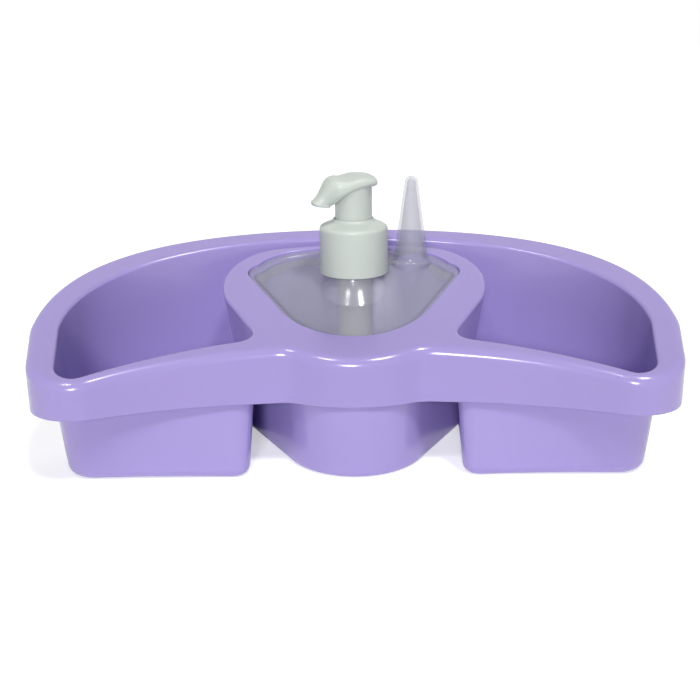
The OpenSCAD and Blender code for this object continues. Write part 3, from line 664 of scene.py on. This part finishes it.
def lid_neck():
    """The neck without its thread, the bell and the post, down to the plate's underside."""
    low, collar_top, root_foot = WELL_Z - CLOSURE_R, CLOSURE_Z + 1.4, CLOSURE_Z + 2.2
    neck = turned("neck", rounded([
        (0, low, 0), (NECK_R, low, 0), (NECK_R, collar_top, 0.3), (NECK_ROOT_R, root_foot, 0.4),
        (NECK_ROOT_R, NECK_TOP, 0.35), (0, NECK_TOP, 0)]))
    join(neck, bell("bell", NECK_R, BELL_TOP), post("post", 0, 0))
    return common(neck, lid_prism(-LID_GAP, SEAT, POST_H + CLOSURE_R))


def lid_rib():
    """The rib under the plate that locates it in the reservoir's mouth."""
    out, thick = -LEDGE_W - FREE_GAP, LID_T * 0.7
    return cut(lid_prism(out, SEAT - RIB_H, SEAT + ROOT),
               lid_prism(out - thick, SEAT - RIB_H - OVER, SEAT + OVER))


def build_lid():
    """The plate, the well and neck for the pump, the bell, the ring post and the rib, as one moulding."""
    lid = lid_plate()
    well = common(upright("well", WELL_R + LID_T, WELL_Z - LID_T, WELL_Z + CLOSURE_R),
                  lid_prism(-LID_GAP - LID_EDGE_R, SEAT - CLOSURE_R, -LID_SINK))
    join(lid, well)
    cut(lid, upright("well_space", WELL_R, WELL_Z, WELL_Z + CLOSURE_R))
    join(lid, lid_neck())
    join(lid, lid_rib(), thread("neck_thread", NECK_ROOT_R - THREAD_ROOT, NECK_CREST_R))
    return cut(lid, upright("neck_bore", NECK_BORE_R, WELL_Z - 2 * CLOSURE_R, NECK_TOP + OVER),
               bell("bell_space", NECK_R - LID_T, BELL_TOP - LID_T),
               post("post_space", POST_WALL, POST_WALL))


# The pump
# How far the closure's top stays under the solid's, to leave the spout room
CLOSURE_SINK = 0.7
# Points of the shoulder: shares of the way out from the head's hole and up from the side
SHOULDER_SHARES = [(0.97, 0.13), (0.9, 0.28), (0.78, 0.39), (0.58, 0.48), (0.36, 0.58), (0.18, 0.7)]


def build_closure():
    """The screw closure, with its shoulder, its hole for the head and its inner thread."""
    inner_r, edge, hole_r = CLOSURE_R - CLOSURE_WALL, CLOSURE_WALL / 4, HEAD_R + FREE_GAP
    top, grip_r, slope_steps = CLOSURE_TOP - CLOSURE_SINK, STACK_R - 2 * edge, 10
    slope = [(mix(hole_r, CLOSURE_R, out), mix(SHOULDER_Z, top, up)) for out, up in SHOULDER_SHARES]
    slope.append((hole_r + 1.2 * edge, top - 0.6 * edge))
    corners = [(inner_r, CLOSURE_Z, 0.3), (CLOSURE_R, CLOSURE_Z, 0.45),
               (CLOSURE_R, SHOULDER_Z - 0.2 * edge, 0.9)]
    corners += [(x, z, 0.2) for x, z in curve(slope, slope_steps)]
    corners += [(*slope[-1], 0.2), (hole_r + 0.8 * edge, top, 0.3), (hole_r, top, 0.25),
                (hole_r, top - 2 * edge, 0.3), (grip_r, SHOULDER_Z - CLOSURE_WALL / 2, 0.4),
                (grip_r, GRIP_Z, 0.2), (inner_r, GRIP_Z, 0.3)]
    closure = turned("closure", rounded(corners), sides=192)
    return join(closure, thread("closure_thread", inner_r + THREAD_ROOT, CLOSURE_CREST_R, phase=0.5))


# Along the head: the top line's reach and level, the low line's, and the half width between them
HEAD_STATIONS = [
    (-10.3, -5.3, -10.3, -6.7, 4.6), (-9.9, -3.6, -10.0, -7.4, 6.8), (-8.4, -2.3, -8.5, -7.8, 9.0),
    (-4.6, -1.6, -4.6, -8.3, 10.0), (0.0, -1.5, 0.0, -9.6, 10.0), (3.2, -2.0, 4.0, -11.0, 9.8),
    (6.6, -2.4, 7.4, -12.9, 9.2), (10.2, -2.2, 9.6, -14.5, 8.3), (13.4, -3.6, 11.0, -15.7, 6.8),
    (15.9, -7.2, 11.8, -16.1, 5.4), (17.9, -10.5, 12.2, -16.3, 4.6), (19.8, -12.6, 12.3, -16.5, 4.4),
    (21.3, -13.8, 12.1, -16.7, 4.5), (21.3, -15.0, 12.4, -16.9, 4.5), (20.7, -15.7, 12.9, -16.9, 4.1)]
STEPS_A_STATION = 8
# How many rings before the spout's end its bore ends and its mouth narrows
BORE_RING, MOUTH_RING = 30, 9
MOUTH_SHARE = 0.7
# Rings that round the head's back: a share of the first ring's size, and their place from it
BACK_RINGS = [(0.3, -0.3), (0.6, -0.28), (0.85, -0.18)]
# The same for the ring that rounds the spout's end, from the last ring
END_RING = (0.94, 0.1)
HEAD_SKIRT_FOOT, HEAD_SKIRT_TOP = CLOSURE_TOP - 3, HEAD_Z - 5
STEM_DROP, BOSS_DROP, ROOF_DROP = 5.6, 19.0, 8.0


def head_stations():
    """The stations with smooth ones filled in between."""
    p = np.array(HEAD_STATIONS)
    p = np.vstack([2 * p[0] - p[1], p, 2 * p[-1] - p[-2]])
    out = []
    for k in range(1, len(p) - 2):
        for t in np.arange(STEPS_A_STATION) / STEPS_A_STATION:
            a, b, c, d = p[k - 1:k + 3]
            out.append(0.5 * (2 * b + (c - a) * t + (2 * a - 5 * b + 4 * c - d) * t ** 2
                              + (3 * b - a - 3 * c + d) * t ** 3))
    out.append(p[-2])
    return out


def head_ring(station, share=1.0, out=0.0, n=72):
    """The head's section at a station, between a circle and a box."""
    squareness = 0.78
    a = circle(n)
    mid = (station[0:2] + station[2:4]) / 2
    half = (station[0:2] - station[2:4]) / 2 * share
    over = np.sign(np.cos(a)) * np.abs(np.cos(a)) ** squareness
    up = np.sign(np.sin(a)) * np.abs(np.sin(a)) ** squareness
    return np.c_[mid[0] + up * half[0] + out, over * station[4] * share, HEAD_Z + mid[1] + up * half[1]]


def head_form(stations):
    """The head outside, from its back over the thumb rest to the spout's blunt end."""
    first, last = stations[0], stations[-1]
    rings = [head_ring(first, share, out) for share, out in BACK_RINGS]
    rings += [head_ring(station) for station in stations]
    rings.append(head_ring(last, *END_RING))
    return swept("head", rings)


def spout_mouth(stations):
    """The opening in the spout's end, which runs on past it."""
    last = stations[-1]
    beyond = 2 * last - stations[-MOUTH_RING]
    along = (stations[-BORE_RING], stations[-MOUTH_RING], last, beyond)
    return swept("mouth", [head_ring(station, MOUTH_SHARE) for station in along])


def spout_bore(stations):
    """The channel from the stem's top to the spout's mouth."""
    start = vec(0, 0, HEAD_Z - STEM_DROP - HEAD_WALL)
    end = (stations[-BORE_RING][0:2] + stations[-BORE_RING][2:4]) / 2
    way = vec(end[0], 0, HEAD_Z + end[1]) - start
    size = np.linalg.norm(way)
    way /= size
    side = vec(0, 1, 0)
    return rod("channel", start, way, size, TIP_T / 3, side, np.cross(way, side), sides=40)


def build_head():
    """The pump's head: its form, its skirt, the room in it and the stem's socket."""
    stations = head_stations()
    head, mouth = head_form(stations), spout_mouth(stations)
    skirt = turned("head_skirt", rounded([
        (0, HEAD_SKIRT_FOOT, 0), (HEAD_R, HEAD_SKIRT_FOOT, 0.4), (HEAD_R, HEAD_SKIRT_TOP, 0),
        (0, HEAD_SKIRT_TOP, 0)]))
    join(head, skirt)
    socket_r = STEM_R + FIT_GAP
    room = cut(upright("room", HEAD_R - HEAD_WALL, HEAD_SKIRT_FOOT - OVER, HEAD_Z - ROOF_DROP),
               upright("boss", socket_r + HEAD_WALL, HEAD_Z - BOSS_DROP, HEAD_Z - ROOF_DROP + OVER))
    socket = upright("socket", socket_r, HEAD_Z - BOSS_DROP - OVER, HEAD_Z - STEM_DROP)
    cut(head, room, socket, spout_bore(stations), mouth)
    pivot = Matrix.Translation((0, PUMP_Y * MM, 0))
    head.data.transform(pivot @ Matrix.Rotation(math.radians(180 + SPOUT_TURN), 4, "Z") @ pivot.inverted())
    return head


# Heights in the barrel, from the dip tube's socket up to the spring
DIP_TOP = BARREL_FOOT + DIP_SOCKET
VALVE_Z = DIP_TOP + BARREL_WALL
THROAT_R = BALL_R * 0.66
BALL_Z = VALVE_Z - THROAT_R + (BALL_R + FIT_GAP) * math.sqrt(2)
CAGE_Z = BALL_Z + BALL_LIFT + BALL_R / 2 + RUN_GAP
SPRING_FOOT = CAGE_Z + BARREL_WALL
SLEEVE_H = 5.0
VENT_R, VENT_BEARING = 0.88, 125


def barrel_vent():
    """The small hole in the barrel's side that lets air follow the soap."""
    a, up = math.radians(VENT_BEARING), vec(0, 0, 1)
    way = vec(math.cos(a), math.sin(a), 0)
    start = vec(0, 0, FLANGE_Z - 2 * SLEEVE_H)
    return rod("vent", start, way, 2 * BARREL_R, VENT_R, np.cross(up, way), up, sides=32)


def build_barrel():
    """The pump's barrel: dip tube socket, ball valve, bore, sleeve in the neck and flange."""
    socket_r, bore_r, chamber_r = DIP_R + FIT_GAP, BARREL_R - BARREL_WALL, BALL_R + 0.8 * FREE_GAP
    cage_r = BALL_R * math.sqrt(3) / 2
    sleeve_r, sleeve_foot = NECK_BORE_R - FREE_GAP, FLANGE_Z - SLEEVE_H
    bulge = chamber_r + 1.3 * BARREL_WALL
    barrel = turned("barrel", rounded([
        (socket_r, BARREL_FOOT, 0.15), (socket_r + BARREL_WALL, BARREL_FOOT, 0.3),
        (socket_r + BARREL_WALL, DIP_TOP - BARREL_WALL, 0.3), (bulge, VALVE_Z, 0.5), (bulge, BALL_Z, 0.5),
        (BARREL_R, SPRING_FOOT - 0.4 * BARREL_WALL, 0.8), (BARREL_R, sleeve_foot + BARREL_WALL, 0.4),
        (sleeve_r, sleeve_foot + 2 * BARREL_WALL, 0.4), (sleeve_r, FLANGE_Z, 0.1),
        (STACK_R, FLANGE_Z, 0.2), (STACK_R, COLLAR_Z, 0.2), (bore_r, COLLAR_Z, 0.2),
        (bore_r, SPRING_FOOT, 0.3), (cage_r, SPRING_FOOT, 0.2), (cage_r, CAGE_Z, 0.1),
        (chamber_r, CAGE_Z, 0.1), (chamber_r, VALVE_Z + chamber_r - THROAT_R, 0),
        (THROAT_R, VALVE_Z, 0), (THROAT_R, DIP_TOP, 0.1), (socket_r, DIP_TOP, 0)]), sides=144)
    return cut(barrel, barrel_vent())


def build_spring():
    """The return spring at rest, with a close turn at each end."""
    wire_r, wire_sides, steps_a_turn = WIRE_D / 2, 12, 60
    steps = SPRING_TURNS * steps_a_turn
    rise = SPRING_LEN - WIRE_D - 2 * FIT_GAP
    dead, close = 1 / SPRING_TURNS, WIRE_D + RUN_GAP
    t = np.arange(steps + 1) / steps
    lift = np.interp(t, [0, dead, 1 - dead, 1], [0, close, rise - close, rise])
    b = circle(wire_sides)
    r = SPRING_R + wire_r * np.cos(b)
    rings = []
    for turn, z in zip(2 * np.pi * t * SPRING_TURNS, lift):
        height = SPRING_FOOT + wire_r + FIT_GAP + z + wire_r * np.sin(b)
        rings.append(np.c_[r * math.cos(turn), r * math.sin(turn), height])
    return swept("spring", rings)


# Materials
def srgb(text):
    """A linear colour from its usual hex form."""
    out = []
    for k in (0, 2, 4):
        c = int(text[k:k + 2], 16) / 255
        out.append(c / 12.92 if c <= 0.04045 else ((c + 0.055) / 1.055) ** 2.4)
    return tuple(out)


class Shader:
    """A node material around one Principled shader, with short helpers for its patterns."""

    def __init__(self, name, color, **sockets):
        self.mat = bpy.data.materials.new(name)
        self.mat.use_nodes = True
        self.tree = self.mat.node_tree
        self.bsdf = self.tree.nodes["Principled BSDF"]
        self.color = srgb(color)
        self.mat.diffuse_color = (*self.color, 1)
        self.bsdf.inputs["Base Color"].default_value = (*self.color, 1)
        for key, value in sockets.items():
            self.bsdf.inputs[key.replace("_", " ")].default_value = value
        self.coords = self.add("ShaderNodeTexCoord").outputs["Object"]

    def add(self, kind, **attrs):
        node = self.tree.nodes.new(kind)
        for key, value in attrs.items():
            setattr(node, key, value)
        return node

    def link(self, a, b):
        self.tree.links.new(a, b)

    def noise(self, size_mm, detail=3.0, rough=0.5, stretch=(1, 1, 1)):
        """Noise whose features are about size_mm across."""
        scale = self.add("ShaderNodeMapping")
        scale.inputs["Scale"].default_value = stretch
        self.link(self.coords, scale.inputs["Vector"])
        node = self.add("ShaderNodeTexNoise")
        node.inputs["Scale"].default_value = 1000.0 / size_mm
        node.inputs["Detail"].default_value = detail
        node.inputs["Roughness"].default_value = rough
        self.link(scale.outputs["Vector"], node.inputs["Vector"])
        return node.outputs["Fac"]

    def vary(self, value, amount, tint=(1, 1, 1)):
        """Lets the base colour wander between darker and lighter by a value from 0 to 1."""
        node = self.add("ShaderNodeMix", data_type="RGBA")
        dark = [c * (1 - amount * t) for c, t in zip(self.color, tint)]
        light = [min(1, c * (1 + amount * t)) for c, t in zip(self.color, tint)]
        node.inputs["A"].default_value = (*dark, 1)
        node.inputs["B"].default_value = (*light, 1)
        self.link(value, node.inputs["Factor"])
        self.link(node.outputs["Result"], self.bsdf.inputs["Base Color"])

    def roughness(self, value, low, high):
        """Lets the roughness wander between two values where noise mostly lies."""
        noise_low, noise_high = 0.3, 0.7
        node = self.add("ShaderNodeMapRange", clamp=True)
        for key, v in zip(("From Min", "From Max", "To Min", "To Max"), (noise_low, noise_high, low, high)):
            node.inputs[key].default_value = v
        self.link(value, node.inputs["Value"])
        self.link(node.outputs["Result"], self.bsdf.inputs["Roughness"])

    def bump(self, value, height_mm, after=None):
        """Raises the surface by a value, on top of another bump if one is given."""
        node = self.add("ShaderNodeBump")
        node.inputs["Strength"].default_value = 1.0
        node.inputs["Distance"].default_value = height_mm * MM
        self.link(value, node.inputs["Height"])
        if after is not None:
            self.link(after, node.inputs["Normal"])
        self.link(node.outputs["Normal"], self.bsdf.inputs["Normal"])
        return node.outputs["Normal"]


def lilac_plastic():
    """The tray's glossy moulded plastic, with slight sinking on its broad walls."""
    s = Shader("lilac_plastic", "A899D6", IOR=1.49, Specular_IOR_Level=0.6,
               Subsurface_Weight=0.4, Subsurface_Scale=0.003, Subsurface_Radius=(1.0, 0.85, 1.2))
    s.vary(s.noise(45, detail=3), amount=0.018, tint=(1, 1, 0.5))
    s.roughness(s.noise(16, detail=3), low=0.16, high=0.2)
    s.bump(s.noise(0.6, detail=2), 0.0012, after=s.bump(s.noise(55, detail=1), 0.06))
    return s.mat


def white_plastic():
    """The pump's satin plastic."""
    s = Shader("white_plastic", "CED6CE", IOR=1.49, Specular_IOR_Level=0.45,
               Subsurface_Weight=0.4, Subsurface_Scale=0.005, Subsurface_Radius=(1.0, 1.0, 0.9))
    s.vary(s.noise(9, detail=4), amount=0.02)
    s.roughness(s.noise(5, detail=4), low=0.3, high=0.4)
    s.bump(s.noise(0.35, detail=3, rough=0.6), 0.003, after=s.bump(s.noise(12, detail=2), 0.05))
    return s.mat


def natural_plastic():
    """The uncoloured plastic inside the pump."""
    s = Shader("natural_plastic", "F1EEEA", IOR=1.49, Transmission_Weight=0.05, Specular_IOR_Level=0.5)
    s.vary(s.noise(6, detail=4), amount=0.03)
    s.roughness(s.noise(4, detail=4), low=0.28, high=0.42)
    s.bump(s.noise(0.4, detail=3, rough=0.6), 0.003)
    return s.mat


def clear_plastic():
    """The lid's milky clear plastic."""
    s = Shader("clear_plastic", "BEC0CF", IOR=1.49, Alpha=0.3, Specular_IOR_Level=0.9)
    s.vary(s.noise(14, detail=3), amount=0.02)
    s.roughness(s.noise(9, detail=3), low=0.12, high=0.18)
    s.bump(s.noise(0.8, detail=2), 0.0006, after=s.bump(s.noise(25, detail=1), 0.02))
    return s.mat


def gasket_rubber():
    s = Shader("gasket_rubber", "5C5F64", Specular_IOR_Level=0.3)
    s.vary(s.noise(3, detail=4), amount=0.06)
    s.roughness(s.noise(1.5, detail=4), low=0.6, high=0.8)
    s.bump(s.noise(0.25, detail=4, rough=0.7), 0.01)
    return s.mat


def ball_steel():
    s = Shader("ball_steel", "CDD0D4", Metallic=1.0)
    s.vary(s.noise(2.0, detail=4), amount=0.03)
    s.roughness(s.noise(0.7, detail=4), low=0.08, high=0.16)
    s.bump(s.noise(0.3, detail=3, rough=0.6), 0.001)
    return s.mat


def spring_steel():
    """Drawn wire, with fine lines."""
    s = Shader("spring_steel", "C3C5C9", Metallic=1.0)
    s.vary(s.noise(2.5, detail=4), amount=0.05)
    s.roughness(s.noise(0.8, detail=4), low=0.2, high=0.34)
    s.bump(s.noise(0.2, detail=3, rough=0.6, stretch=(1, 1, 6)), 0.004)
    return s.mat


def dress_node(name, mat):
    """Gives a CAD node its material."""
    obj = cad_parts[name]
    if not obj.material_slots:
        obj.data.materials.append(mat)
    for slot in obj.material_slots:
        slot.link = "DATA"
        slot.material = mat


lilac, white, natural, clear = lilac_plastic(), white_plastic(), natural_plastic(), clear_plastic()
rubber, ball_metal, wire_metal = gasket_rubber(), ball_steel(), spring_steel()

for mat, nodes in ((white, ("pump_stem", "guide_collar", "pump_closure", "pump_head")),
                   (natural, ("stem_foot", "piston_seal", "dip_tube", "pump_barrel")),
                   (rubber, ("neck_gasket",)), (ball_metal, ("inlet_ball",)),
                   (wire_metal, ("return_spring",)), (clear, ("lid",)), (lilac, ("tray",))):
    for node in nodes:
        dress_node(node, mat)


# The pieces
FLAT_WEIGHT = 80


def smooth(obj, angle):
    """Smooth shading with the edges sharper than an angle kept crisp, and flat faces kept flat."""
    mesh = obj.data
    mesh.polygons.foreach_set("use_smooth", [True] * len(mesh.polygons))
    mesh.set_sharp_from_angle(angle=math.radians(angle))
    mod = obj.modifiers.new("weighted", "WEIGHTED_NORMAL")
    mod.keep_sharp = True
    mod.weight = FLAT_WEIGHT


def place(obj, name, body, node, mat, angle=32):
    """Finishes a piece that stands for a node of its body."""
    smooth(obj, angle)
    obj.data.materials.clear()
    obj.data.materials.append(mat)
    obj.name = name
    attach(obj, body)
    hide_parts(node)
    return obj


barrel = build_barrel()
place(build_tray(), "tray_moulding", "tray_body", "tray", lilac)
place(build_lid(), "lid_moulding", "lid_body", "lid", clear)
place(build_closure(), "closure_moulding", "closure_body", "pump_closure", white)
place(build_head(), "head_moulding", "head_body", "pump_head", white, 40)
place(barrel, "barrel_moulding", "pump_body", "pump_barrel", natural)
spring = place(build_spring(), "spring_coil", "pump_body", "return_spring", wire_metal, 60)
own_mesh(spring)


# Floor, world, lamps and camera
FLOOR_HALF, FLOOR_GREY, FLOOR_GLOW = 4, 0.9, 0.48
WORLD_LIGHT = 0.05
WHITE = (1, 1, 1, 1)


def seen_rays(tree):
    """One for camera, glossy and transmission rays, and zero for the light on the object."""
    path = tree.nodes.new("ShaderNodeLightPath")
    total = path.outputs["Is Camera Ray"]
    for kind in ("Is Glossy Ray", "Is Transmission Ray"):
        most = tree.nodes.new("ShaderNodeMath")
        most.operation = "MAXIMUM"
        tree.links.new(total, most.inputs[0])
        tree.links.new(path.outputs[kind], most.inputs[1])
        total = most.outputs[0]
    return total


def switch(tree, unseen, seen, output):
    """Sends one shader to the rays that light the object, and another to those that see it."""
    pick = tree.nodes.new("ShaderNodeMixShader")
    tree.links.new(seen_rays(tree), pick.inputs[0])
    tree.links.new(unseen, pick.inputs[1])
    tree.links.new(seen, pick.inputs[2])
    tree.links.new(pick.outputs[0], tree.nodes[output].inputs["Surface"])


def floor_paint():
    """A matt grey that looks white where it is seen, and keeps the object's shadow."""
    mat = bpy.data.materials.new("floor_paint")
    mat.use_nodes = True
    tree = mat.node_tree
    bsdf = tree.nodes["Principled BSDF"]
    bsdf.inputs["Base Color"].default_value = (FLOOR_GREY, FLOOR_GREY, FLOOR_GREY, 1)
    bsdf.inputs["Roughness"].default_value = 0.9
    bsdf.inputs["Specular IOR Level"].default_value = 0.1
    glow = tree.nodes.new("ShaderNodeEmission")
    glow.inputs["Strength"].default_value = FLOOR_GLOW
    total = tree.nodes.new("ShaderNodeAddShader")
    tree.links.new(bsdf.outputs[0], total.inputs[0])
    tree.links.new(glow.outputs[0], total.inputs[1])
    switch(tree, bsdf.outputs[0], total.outputs[0], "Material Output")
    return mat


def stage_floor():
    """A large square floor under the object."""
    corners = [(x * FLOOR_HALF, y * FLOOR_HALF, 0) for x, y in ((-1, -1), (1, -1), (1, 1), (-1, 1))]
    mesh = bpy.data.meshes.new("floor")
    mesh.from_pydata(corners, [], [(0, 1, 2, 3)])
    mesh.materials.append(floor_paint())
    floor = bpy.data.objects.new("floor", mesh)
    bpy.context.scene.collection.objects.link(floor)


def studio_world():
    """White where it is seen, and a faint even light on the object."""
    world = bpy.data.worlds.new("studio")
    bpy.context.scene.world = world
    world.use_nodes = True
    tree = world.node_tree
    back = tree.nodes["Background"]
    seen = tree.nodes.new("ShaderNodeBackground")
    for node, strength in ((back, WORLD_LIGHT), (seen, 1.0)):
        node.inputs["Color"].default_value = WHITE
        node.inputs["Strength"].default_value = strength
    switch(tree, back.outputs[0], seen.outputs[0], "World Output")


def sun(name, bearing, height, strength, spread, gloss=True):
    """A far lamp. Its bearing to the right of the camera, height and spread are in degrees."""
    data = bpy.data.lights.new(name, "SUN")
    data.energy = strength
    data.angle = math.radians(spread)
    obj = bpy.data.objects.new(name, data)
    a, e = math.radians(bearing), math.radians(height)
    way = Vector((math.sin(a) * math.cos(e), -math.cos(a) * math.cos(e), math.sin(e)))
    obj.location = way
    obj.visible_glossy = gloss
    obj.rotation_euler = way.to_track_quat("Z", "Y").to_euler()
    bpy.context.scene.collection.objects.link(obj)


def photo_camera():
    """The camera where the photograph was taken from, with its place in millimetres."""
    focal_px, photo_px, sensor_mm = 1030, 700, 36.0
    x, y, z = -2.4, PUMP_Y - 496.35, 211.4
    dip, roll = 18.886, -0.6
    data = bpy.data.cameras.new("camera")
    data.sensor_fit = "HORIZONTAL"
    data.sensor_width = sensor_mm
    data.lens = focal_px / photo_px * sensor_mm
    data.clip_start = 0.01
    cam = bpy.data.objects.new("camera", data)
    bpy.context.scene.collection.objects.link(cam)
    cam.matrix_world = (Matrix.Translation(Vector((x, y, z)) * MM)
                        @ Matrix.Rotation(math.radians(90 - dip), 4, "X")
                        @ Matrix.Rotation(math.radians(roll), 4, "Z"))
    bpy.context.scene.camera = cam


stage_floor()
studio_world()
sun("front", bearing=-5, height=20, strength=1.55, spread=12)
sun("key", bearing=32, height=62, strength=1.15, spread=9)
sun("left", bearing=-32, height=60, strength=0.52, spread=9)
sun("rear", bearing=175, height=35, strength=0.6, spread=30, gloss=False)
photo_camera()
bpy.context.scene.view_settings.view_transform = "Standard"
